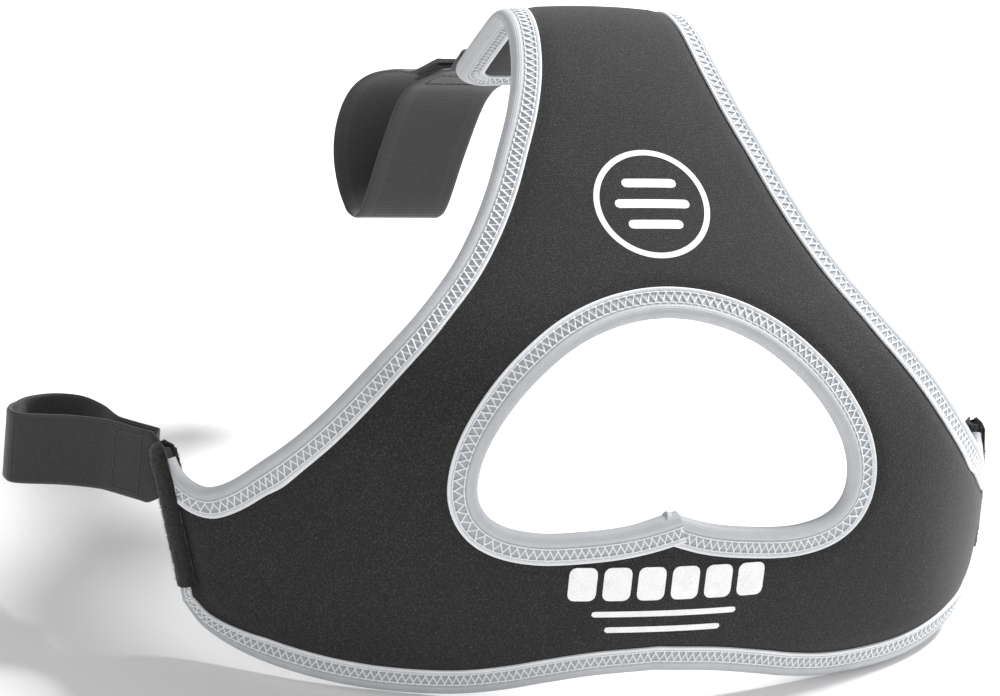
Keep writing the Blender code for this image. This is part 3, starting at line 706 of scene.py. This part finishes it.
# ---- Riding ----
def flex_with(piece, region):
    """Attach a piece on the plate's centre to the back plate; a piece on a wing or the crown is only
    baked in place.
    """
    if region == "centre":
        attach(piece, "back_plate")
    elif region == "crown":
        start, end = (wrap_point(0, v) for v in CROWN_FLEX_V)
        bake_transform(piece)
    else:
        side = LEFT if region == "left_wing" else RIGHT
        start, end = (wrap_point(side * u, WING_FLEX_V) for u in WING_FLEX_U)
        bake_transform(piece)


# ---- The sheet ----
def build_sheet():
    """Build the knit-faced sheet: an outer half over the foam, and the lining half."""
    outline, opening = plate_outline(), opening_outline()
    part_lines = []
    for side in (LEFT, RIGHT):
        u = side * WING_PART_U
        rows = np.arange(*WING_PART_SPAN, EDGE_SPACING)
        column = np.array([(u, row) for row in rows])
        part_lines.append(column[inside_loops(column, (outline, opening))])
    row = np.array([(u, CROWN_PART_V) for u in np.arange(*CROWN_PART_SPAN, EDGE_SPACING)])
    part_lines.append(row[inside_loops(row, (outline,))])
    flat, faces = fill_flat((outline, opening), SHEET_SPACING, part_lines)
    borders = (np.vstack((outline, outline[:1])), np.vstack((opening, opening[:1])))
    from_edge = np.minimum(*(distance_to(on_plate(flat), on_plate(border)) for border in borders))
    reach, swell = np.array(SHEET_SWELL).T * MM
    height = np.interp(from_edge, reach, swell)
    middle = flat[faces].mean(axis=1)
    regions = {
        "crown": middle[:, 1] > CROWN_PART_V,
        "left_wing": (middle[:, 0] < -WING_PART_U) & (middle[:, 1] <= CROWN_PART_V),
        "right_wing": (middle[:, 0] > WING_PART_U) & (middle[:, 1] <= CROWN_PART_V),
    }
    regions["centre"] = ~(regions["crown"] | regions["left_wing"] | regions["right_wing"])
    for region, chosen in regions.items():
        outer = add_flat_slab(f"knit_face_{region}", flat, faces[chosen], 0.0, height, KNIT)
        inner = add_flat_slab(f"soft_lining_{region}", flat, faces[chosen], -height, -LINING_GAP, LINING)
        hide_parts(f"outer_shell_{region}", f"foam_core_{region}")
        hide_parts(f"inner_lining_{region}")
        for piece in (outer, inner):
            flex_with(piece, region)


# ---- Bindings ----
def inward_steps(line, material_side):
    """Return, for each point of a flat edge line, the flat step that is a true unit inwards."""
    step = 0.5 * MM
    flat = np.column_stack((line, np.zeros(len(line))))
    across = (wrap(flat + (step, 0, 0)) - wrap(flat - (step, 0, 0))) / (2 * step)
    upward = (wrap(flat + (0, step, 0)) - wrap(flat - (0, step, 0))) / (2 * step)
    ahead = np.gradient(line, axis=0)
    along = across * ahead[:, :1] + upward * ahead[:, 1:]
    inward = np.cross(np.cross(across, upward), along) * material_side
    inward /= np.linalg.norm(inward, axis=1)[:, None]
    steps = []
    for u_slope, v_slope, wanted in zip(across, upward, inward):
        steps.append(np.linalg.lstsq(np.column_stack((u_slope, v_slope)), wanted, rcond=None)[0])
    return np.array(steps)


class EdgeBand:
    """A band along an edge line, where (s, d, w) becomes a place on the bent plate."""

    def __init__(self, line, material_side=1, narrow=None, lift=None):
        self.line = even_line(line, BINDING_SPACING)
        self.steps = inward_steps(self.line, material_side)
        self.distance = travelled(on_plate(self.line))
        self.narrow = narrow
        self.lift = lift

    @property
    def length(self):
        return self.distance[-1]

    def place(self, s, d, w):
        """Carry points along, into and above the edge to their places in space."""
        flat = [np.interp(s, self.distance, column) for column in self.line.T]
        step = [np.interp(s, self.distance, column) for column in self.steps.T]
        if self.narrow is not None:
            d = np.where(d > 0, d * self.narrow(s, self.length), d)
        if self.lift is not None:
            w = w + np.sign(w) * self.lift(s, self.length)
        return wrap(np.column_stack((flat[0] + step[0] * d, flat[1] + step[1] * d, w)))


def tape_rings(band, section):
    """Return the rings of a tape folded over an edge, and their (s, d) for the weave."""
    half = np.array(section) * MM
    outer = np.vstack((half, half[::-1] * (1, -1)))
    inner_d, inner_w = half[0][0] - 0.1 * MM, half[0][1] - 0.25 * MM
    inner = np.array(((inner_d, -inner_w), (0.6 * MM, -1.7 * MM), (-0.5 * MM, 0.0),
                      (0.6 * MM, 1.7 * MM), (inner_d, inner_w)))
    ring = np.vstack((outer, inner))
    across = np.concatenate((half[:, 0], -half[::-1, 0], -inner[:2, 0], inner[2:, 0]))
    stations = band.distance
    s = np.repeat(stations, len(ring))
    d = np.tile(ring[:, 0], len(stations))
    w = np.tile(ring[:, 1], len(stations))
    rings = band.place(s, d, w).reshape(len(stations), len(ring), 3)
    uv = np.column_stack((s, np.tile(across, len(stations)))).reshape(len(stations), len(ring), 2)
    return rings, uv


def surface_height(d):
    """Return the binding's height at distance d from the edge."""
    section = np.array(BINDING_SECTION[1:])[::-1] * MM
    return np.interp(d, section[:, 0], section[:, 1])


def stitch_paths(band):
    """Return the thread paths of a cover stitch on both faces of a binding."""
    low, high = (place * MM for place in STITCH_BAND)
    count = max(1, int(band.length / STITCH_PITCH))
    pitch = band.length / count
    turn = np.arange(0, count + 1e-9, 1 / 12)
    along = pitch * np.clip(turn + 0.13 * np.sin(4 * math.pi * turn), 0, count)
    across = (low + high) / 2 + (high - low) / 2 * np.sin(2 * math.pi * turn)
    crossing = 0.10 * MM * np.cos(2 * math.pi * turn)
    paths = []
    for face in (1, -1):
        over = surface_height(across) + THREAD_RADIUS * 0.55 + crossing
        paths.append(band.place(along, across, face * over))
        for needle in (low, high):
            steps = np.arange(0, count + 1e-9, 1 / 8)
            dip = 0.30 * MM * np.abs(np.cos(math.pi * steps)) ** 6
            depth = np.full(len(steps), needle)
            over = surface_height(depth) + THREAD_RADIUS * 0.75 - dip
            paths.append(band.place(pitch * steps, depth, face * over))
    return paths


def build_binding(name, line, region, nodes, material_side=1, narrow=None, lift=None):
    """Fold a tape over an edge line and stitch it; on the centre both are attached to the back plate,
    elsewhere they are baked in place.
    """
    band = EdgeBand(line, material_side, narrow, lift)
    rings, uv = tape_rings(band, BINDING_SECTION)
    tape = add_sweep(name, rings, BINDING, uv)
    points, faces = thread_mesh(stitch_paths(band), THREAD_RADIUS)
    stitches = add_piece(f"{name}_stitches", points, faces, PALE_THREAD)
    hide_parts(*nodes)
    for piece in (tape, stitches):
        flex_with(piece, region)


def end_taper(from_start, places, widths):
    """Return a width factor for a binding that narrows towards its start or its finish."""
    def factor(s, length):
        return np.interp(s if from_start else length - s, places, widths)
    return factor


def build_bindings():
    """Bind every edge, parted where the bodies' regions meet."""
    centre_lower = cut_at(LOWER_LINE, 0, WING_PART_U, keep_above=False)
    whole_lower = np.vstack((mirrored(centre_lower)[:-1], centre_lower))
    build_binding("lower_binding_middle", whole_lower, "centre", ["lower_binding_centre"])
    wing_lower = cut_at(LOWER_LINE, 0, WING_PART_U, keep_above=True)
    wing_lower = np.vstack((wing_lower, END_LINE[1:1 + LOWER_TURN_POINTS]))
    below_crown = cut_at(UPPER_LINE, 1, CROWN_PART_V, keep_above=False)
    waist = cut_at(below_crown, 0, WING_PART_U, keep_above=False)
    wing_upper = cut_at(UPPER_LINE, 0, WING_PART_U, keep_above=True)[COVERED_POINTS:]
    for side, side_name in SIDE_NAMES.items():
        wing = f"{side_name}_wing"
        placed = {line_name: line if side == RIGHT else mirrored(line) for line_name, line in
                  (("lower", wing_lower), ("upper", wing_upper), ("waist", waist))}
        build_binding(f"lower_binding_{wing}_tape", placed["lower"], wing, [f"lower_binding_{wing}"],
                      narrow=end_taper(side == LEFT, *LOWER_END_TAPER))
        build_binding(f"upper_binding_{wing}_tape", placed["upper"], wing, [f"upper_binding_{wing}"],
                      narrow=end_taper(side == RIGHT, *UPPER_END_TAPER))
        build_binding(f"upper_binding_{side_name}_waist_tape", placed["waist"], "centre",
                      [f"upper_binding_{side_name}_waist"])
    crown_side = cut_at(UPPER_LINE, 1, CROWN_PART_V, keep_above=True)
    half_crown = np.vstack((crown_side, CROWN_CORNER_LINE[1:]))
    end_run = even_line((half_crown[-1], half_crown[-1] * (-1, 1)), EDGE_SPACING)
    whole_crown = np.vstack((half_crown, end_run[1:-1], mirrored(half_crown)))
    build_binding("crown_binding_tape", whole_crown, "crown", ["crown_binding"])
    build_opening_binding()


def build_opening_binding():
    """Bind the opening in one run whose two ends cross at the bottom centre."""
    ring = np.vstack((OPENING_LINE, mirrored(OPENING_LINE)[1:]))
    start_step = (ring[0] - ring[2]) / np.linalg.norm(ring[0] - ring[2])
    end_step = (ring[-1] - ring[-3]) / np.linalg.norm(ring[-1] - ring[-3])
    under_end, over_end = 2.5 * MM, 2.0 * MM
    line = np.vstack(([ring[0] + start_step * under_end], ring, [ring[-1] + end_step * over_end]))

    def lift(s, length):
        return np.interp(s, (length - 16 * MM, length - 6 * MM), (0.0, 0.75 * MM))

    build_binding("opening_binding_tape", line, "centre", ["opening_binding"], -1, lift=lift)


# ---- Hook-and-loop tapes ----
def build_end_tapes():
    """Fold a fuzzy strip over each wing's end, standing over the binding it covers."""
    along = END_LINE[-1] - END_LINE[0]
    line = np.vstack((END_LINE[END_TAPE_FIRST_POINT:], [END_LINE[-1] + along * 0.012]))
    for side, side_name in SIDE_NAMES.items():
        band = EdgeBand(line if side == RIGHT else mirrored(line))
        rings, uv = tape_rings(band, END_TAPE_SECTION)
        waver = RANDOM.normal(0, 0.10 * MM, rings.shape)
        to_top = band.distance if side == LEFT else band.length - band.distance
        fullness = np.interp(to_top, (0.0, 1.5 * MM, 4.0 * MM), (0.45, 0.85, 1.0))[:, None, None]
        middles = rings.mean(axis=1, keepdims=True)
        rings = middles + fullness * (rings - middles)
        tape = add_sweep(f"{side_name}_pile_tape", rings + waver, PILE, uv)
        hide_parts(f"{side_name}_end_tape")
        s = RANDOM.uniform(0, band.length - END_TAPE_BARE_TOP, END_TAPE_FIBRES)
        if side == LEFT:
            s += END_TAPE_BARE_TOP
        half = np.array(END_TAPE_SECTION) * MM
        run = travelled(half)
        face = np.where(RANDOM.random(END_TAPE_FIBRES) < 0.5, 1, -1)
        where = RANDOM.uniform(0, run[-1], END_TAPE_FIBRES)
        d, w = (np.interp(where, run, column) for column in half.T)
        roots = band.place(s, d, face * (w - 0.1 * MM))
        tips = band.place(s, np.where(d < 0.5 * MM, d - 0.5 * MM, d), face * (w + 0.7 * MM))
        direction = (tips - roots) / np.linalg.norm(tips - roots, axis=1)[:, None]
        points, faces = fuzz_mesh(roots, direction, 0.5 * MM, 0.045 * MM, 0.6)
        fuzz = add_piece(f"{side_name}_pile_tape_fuzz", points, faces, PILE)
        for piece in (tape, fuzz):
            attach(piece, f"{side_name}_wing")


# ---- Straps ----
class StrapFrame:
    """The frame of one strap, where (away from the root, backwards, across) becomes a place."""

    def __init__(self, strap):
        self.strap = strap
        plan = STRAPS[strap]
        away = Vector(plan["away"]).normalized()
        across = Vector(plan["across"])
        cross = across.cross(away)
        self.outward = -np.array(cross.normalized())
        self.axes = np.array((away, cross.normalized() - plan["skew"] * across, across / cross.length))
        self.root_flat, self.out, self.flat_across = (
            np.array(plan[key], float) for key in ("root", "out", "flat_across"))
        self.width = plan["width"]
        self.stub_length = plan["stub"]
        self.stub_w = plan["face"] * STUB_W
        self.origin = self.on_stub(0, 0) + self.axes[0] * SWING_GAP / 2

    def place(self, points):
        return self.origin + np.asarray(points) @ self.axes

    def on_stub(self, inboard, across, lift=0.0):
        """Return a point of the sewn end: in from its outer edge, across it and off the plate."""
        flat = self.root_flat - self.out * inboard + self.flat_across * across
        return wrap_point(*flat, self.stub_w + math.copysign(lift, self.stub_w))


def band_rings(low_edge, high_edge, thickness):
    """Return rings of a woven band between two edge curves, thinner at its selvages."""
    shares = np.concatenate(([0.0, 0.015, 0.045], np.linspace(0.10, 0.90, 9), [0.955, 0.985, 1.0]))
    swell = np.interp(np.minimum(shares, 1 - shares), (0, 0.015, 0.045, 0.10), (0.25, 0.75, 1.1, 1.0))
    middle = (low_edge + high_edge) / 2
    ahead = np.gradient(middle, axis=0)
    across = high_edge - low_edge
    normal = np.cross(ahead, across)
    normal /= np.linalg.norm(normal, axis=1)[:, None]
    surface = low_edge[:, None, :] + shares[None, :, None] * across[:, None, :]
    offset = (thickness / 2 * swell)[None, :, None] * normal[:, None, :]
    rings = np.concatenate((surface + offset, (surface - offset)[:, ::-1]), axis=1)
    width = np.linalg.norm(across, axis=1).mean()
    side = (shares - 0.5) * width
    v = np.tile(np.concatenate((side, side[::-1])), (len(middle), 1))
    u = np.repeat(travelled(middle)[:, None], v.shape[1], axis=1)
    return rings, np.stack((u, v), axis=2)


def strap_band(name, place, line, thickness, material, half_width):
    """Sweep a band along a line in a strap's frame."""
    low = place(np.column_stack((line, np.full(len(line), -half_width))))
    high = place(np.column_stack((line, np.full(len(line), half_width))))
    rings, uv = band_rings(low, high, thickness)
    return add_sweep(name, rings, material, uv)


def build_sewn_root(strap_frame, leg_start):
    """Build the sewn end, from where it lies on the plate to where the outer leg starts."""
    half = strap_frame.width / 2
    edges = []
    for across in (-half, half):
        stub = [strap_frame.on_stub(inboard, across)
                for inboard in np.linspace(strap_frame.stub_length, 0.5 * MM, 5)]
        leg = [strap_frame.place((distance, 0, across))
               for distance in (2.5 * MM, 4.5 * MM, leg_start)]
        edges.append(smooth_line(stub + leg, ROUTE_SPACING))
    count = min(len(edge) for edge in edges)
    low, high = (sample(edge, np.linspace(0, travelled(edge)[-1], count)) for edge in edges)
    rings, uv = band_rings(low, high, STRAP_THICKNESS)
    root = add_sweep(f"{strap_frame.strap}_strap_sewn_root", rings, WEBBING, uv)
    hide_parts(f"{strap_frame.strap}_strap_stub")
    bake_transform(root)


def build_legs(strap_frame, route, root_end, strap_body, tab_body):
    """Build the webbing beyond the root: the outer leg, the fold and the return leg."""
    strap = strap_frame.strap
    place = strap_frame.place
    half = strap_frame.width / 2
    tip = int(np.argmax(route[:, 0]))
    fold_points = round(FOLD_REACH / ROUTE_SPACING)
    fold_start, fold_end = tip - fold_points, tip + fold_points
    outer = strap_band(f"{strap}_strap_outer_band", place, route[root_end:fold_start + 1],
                       STRAP_THICKNESS, WEBBING, half)
    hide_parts(f"{strap}_strap_outer_leg")
    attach(outer, strap_body)
    fold = strap_band(f"{strap}_strap_fold", place, route[fold_start:fold_end + 1],
                      STRAP_THICKNESS, WEBBING, half)
    from_place = place((0, route[fold_start][1] + 1 * MM, 0))
    to_place = place((0, route[fold_end][1] - 1 * MM, 0))
    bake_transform(fold)
    back = strap_band(f"{strap}_strap_return_band", place, route[fold_end:],
                      STRAP_THICKNESS, WEBBING, half)
    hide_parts(f"{strap}_strap_return_leg")
    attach(back, tab_body)


def build_strap(strap):
    """Build one strap: its webbing, the patch and the tab that close it, and the stitching."""
    strap_frame = StrapFrame(strap)
    plate_body, strap_body, tab_body = PLATE_BODIES[strap], f"{strap}_strap", f"{strap}_tab"
    legs = CROWN_LEGS if strap == "crown" else SIDE_LEGS
    route = smooth_line(legs[0] + legs[1], ROUTE_SPACING)
    root_end = int(np.argmax(route[:, 0] > ROOT_REACH))
    build_sewn_root(strap_frame, route[root_end][0])
    build_legs(strap_frame, route, root_end, strap_body, tab_body)
    leg_face = STRAP_THICKNESS / 2 + GAP
    build_pile_patch(strap_frame, f"{strap}_soft_loop_patch", f"{strap}_loop_patch", strap_body,
                     PATCH_RANGE, leg_face, 1)
    build_pile_patch(strap_frame, f"{strap}_fuzzy_hook_tab", f"{strap}_hook_tab", tab_body,
                     TAB_RANGE, LEG_SPACING - leg_face, -1)
    build_strap_stitching(strap_frame, plate_body, strap_body, tab_body)


def build_pile_patch(strap_frame, name, node, body, span, level, facing):
    """Build a patch of hook or loop tape lying on a leg, with its pile on the facing side."""
    line = np.array([(distance, level + facing * TAB_THICKNESS / 2)
                     for distance in np.linspace(*span, 15)])
    patch = strap_band(name, strap_frame.place, line, TAB_THICKNESS, PILE,
                       strap_frame.width / 2 - 0.4 * MM)
    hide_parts(node)
    roots = np.column_stack((RANDOM.uniform(*span, PATCH_FIBRES),
                             np.full(PATCH_FIBRES, level + facing * TAB_THICKNESS * 0.9),
                             RANDOM.uniform(-0.47, 0.47, PATCH_FIBRES) * strap_frame.width))
    direction = np.tile(-strap_frame.outward * facing, (PATCH_FIBRES, 1))
    points, faces = fuzz_mesh(strap_frame.place(roots), direction, 0.4 * MM, 0.045 * MM, 0.9)
    fuzz = add_piece(f"{name}_fuzz", points, faces, PILE)
    for piece in (patch, fuzz):
        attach(piece, body)


def running_stitch(start, end, outward, pitch=2.4 * MM):
    """Return the path of one row of stitches between two places on a surface."""
    count = max(1, round(np.linalg.norm(end - start) / pitch))
    turn = np.arange(0, count + 1e-9, 1 / 8)
    path = start + (turn / count)[:, None] * (end - start)
    lift = 0.16 * MM - 0.35 * MM * np.abs(np.cos(math.pi * turn)) ** 8
    return path + lift[:, None] * outward


def build_strap_stitching(strap_frame, plate_body, strap_body, tab_body):
    """Sew the root's bar tack and a box round the patch and the tab."""
    strap = strap_frame.strap
    tack_paths = []
    for row in BAR_TACK_ROWS:
        inboard = strap_frame.stub_length - row
        reach = strap_frame.width / 2 - 3.0 * MM
        steps = np.linspace(-reach, reach, BAR_TACK_POINTS)
        zigzag = np.where(np.arange(len(steps)) % 2 == 0, 0.45, -0.45) * MM
        tack_paths.append(np.array([
            strap_frame.on_stub(inboard + shift, step, STRAP_THICKNESS / 2 + 0.12 * MM)
            for step, shift in zip(steps, zigzag)]))
    points, faces = thread_mesh(tack_paths, 0.2 * MM)
    tack = add_piece(f"{strap}_bar_tack_thread", points, faces, DARK_THREAD)
    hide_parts(f"{strap}_bar_tack")
    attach(tack, plate_body)

    for name, span, level, outward, body in (
            ("patch", PATCH_RANGE, -STRAP_THICKNESS / 2, strap_frame.outward, strap_body),
            ("tab", TAB_RANGE, LEG_SPACING + STRAP_THICKNESS / 2, -strap_frame.outward, tab_body)):
        low_s, high_s = span[0] + 4.5 * MM, span[1] - 1.2 * MM
        side = strap_frame.width / 2 - 2.2 * MM
        corners = [(low_s, level, -side), (high_s, level, -side), (high_s, level, side),
                   (low_s, level, side)]
        places = [strap_frame.place(corner) for corner in corners]
        paths = [running_stitch(a, b, outward) for a, b in zip(places, places[1:] + places[:1])]
        points, faces = thread_mesh(paths, 0.16 * MM)
        seam = add_piece(f"{strap}_{name}_stitches", points, faces, DARK_THREAD)
        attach(seam, body)


# ---- Generic printed marks ----
def rounded_bar(centre, size, radius, slant=0.0):
    """Return the outline of a bar with round corners."""
    outline = []
    for sx, sy, first in ((1, -1, -90), (1, 1, 0), (-1, 1, 90), (-1, -1, 180)):
        for angle in np.radians(np.linspace(first, first + 90, 5)):
            x = sx * (size[0] / 2 - radius) + radius * math.cos(angle)
            y = sy * (size[1] / 2 - radius) + radius * math.sin(angle)
            outline.append((centre[0] + x + slant * y, centre[1] + y))
    return even_line(outline + outline[:1], 1.2 * MM)[:-1]


def ring_outline(centre, radius, count):
    angles = np.linspace(0, 2 * math.pi, count, endpoint=False)
    return np.array(centre) + radius * np.column_stack((np.cos(angles), np.sin(angles)))


def add_print(name, loops):
    """Add one raised printed mark, which rides on the plate's centre."""
    flat, faces = fill_flat(loops, 1.5 * MM)
    low, high = 2.9 * MM, 3.12 * MM
    mark = add_flat_slab(name, flat, faces, low, high, PRINT)
    flex_with(mark, "centre")


def build_prints():
    """Print plain shapes where the sheet carries its white marks."""
    emblem = (0.0, 0.170)
    add_print("print_ring", (ring_outline(emblem, 20.0 * MM, 120), ring_outline(emblem, 18.0 * MM, 110)))
    for index, width in enumerate((19, 26, 19)):
        centre = (0.0, emblem[1] + (1 - index) * 7.6 * MM)
        add_print(f"print_emblem_bar_{index}", (rounded_bar(centre, (width * MM, 3.2 * MM), 1.5 * MM),))
    for index in range(6):
        centre = ((index - 2.5) * 11.6 * MM, 0.0430)
        add_print(f"print_block_{index}", (rounded_bar(centre, (9.4 * MM, 11.5 * MM), 2.2 * MM),))
    for index, width in enumerate((50, 40)):
        centre = (0.0, 0.0325 - index * 5.6 * MM)
        add_print(f"print_line_{index}", (rounded_bar(centre, (width * MM, 2.0 * MM), 0.9 * MM),))


# ---- Stage ----
def add_area_light(name, place, target, size, energy):
    light = bpy.data.lights.new(name, "AREA")
    light.shape = "DISK"
    light.size = size
    light.energy = energy
    lamp = bpy.data.objects.new(name, light)
    bpy.context.scene.collection.objects.link(lamp)
    lamp.location = place
    lamp.rotation_euler = (Vector(target) - Vector(place)).to_track_quat("-Z", "Y").to_euler()


def build_stage():
    """Lay the floor under the lowest edge, and light it softly from above."""
    floor_z = CAD_BOX[0][2] - 0.5 * MM
    floor = add_piece("floor", [(-6, -6, floor_z), (6, -6, floor_z), (6, 6, floor_z), (-6, 6, floor_z)],
                      [(0, 1, 2, 3)], floor_look())
    middle = (0, 0.06, 0.05)
    add_area_light("key_light", (1.0, 0.45, 1.2), middle, size=0.35, energy=42)
    add_area_light("fill_light", (-0.5, -1.6, 1.0), middle, size=1.4, energy=9)
    world = bpy.data.worlds.new("studio")
    world.use_nodes = True
    background = world.node_tree.nodes["Background"]
    background.inputs["Color"].default_value = (1, 1, 1, 1)
    background.inputs["Strength"].default_value = 0.50
    bpy.context.scene.world = world
    bpy.context.scene.view_settings.view_transform = "Standard"


def build_camera():
    """Stand the camera at the product picture's angle, rolled as its frame is."""
    azimuth, elevation = math.radians(CAMERA_AZIMUTH), math.radians(CAMERA_ELEVATION)
    back = Vector((math.sin(azimuth) * math.cos(elevation),
                   -math.cos(azimuth) * math.cos(elevation),
                   math.sin(elevation)))
    level = Vector((math.cos(azimuth), math.sin(azimuth), 0))
    right = Matrix.Rotation(math.radians(CAMERA_ROLL), 3, back) @ level
    data = bpy.data.cameras.new("camera")
    data.lens = CAMERA_LENS
    data.sensor_width = 36
    camera = bpy.data.objects.new("camera", data)
    bpy.context.scene.collection.objects.link(camera)
    camera.matrix_world = Matrix.Translation(Vector(CAMERA_AIM) + back * CAMERA_DISTANCE) @ Matrix(
        (right, back.cross(right), back)).transposed().to_4x4()
    bpy.context.scene.camera = camera


build_camera()
build_sheet()
build_bindings()
build_end_tapes()
for strap_name in STRAPS:
    build_strap(strap_name)
build_prints()
build_stage()
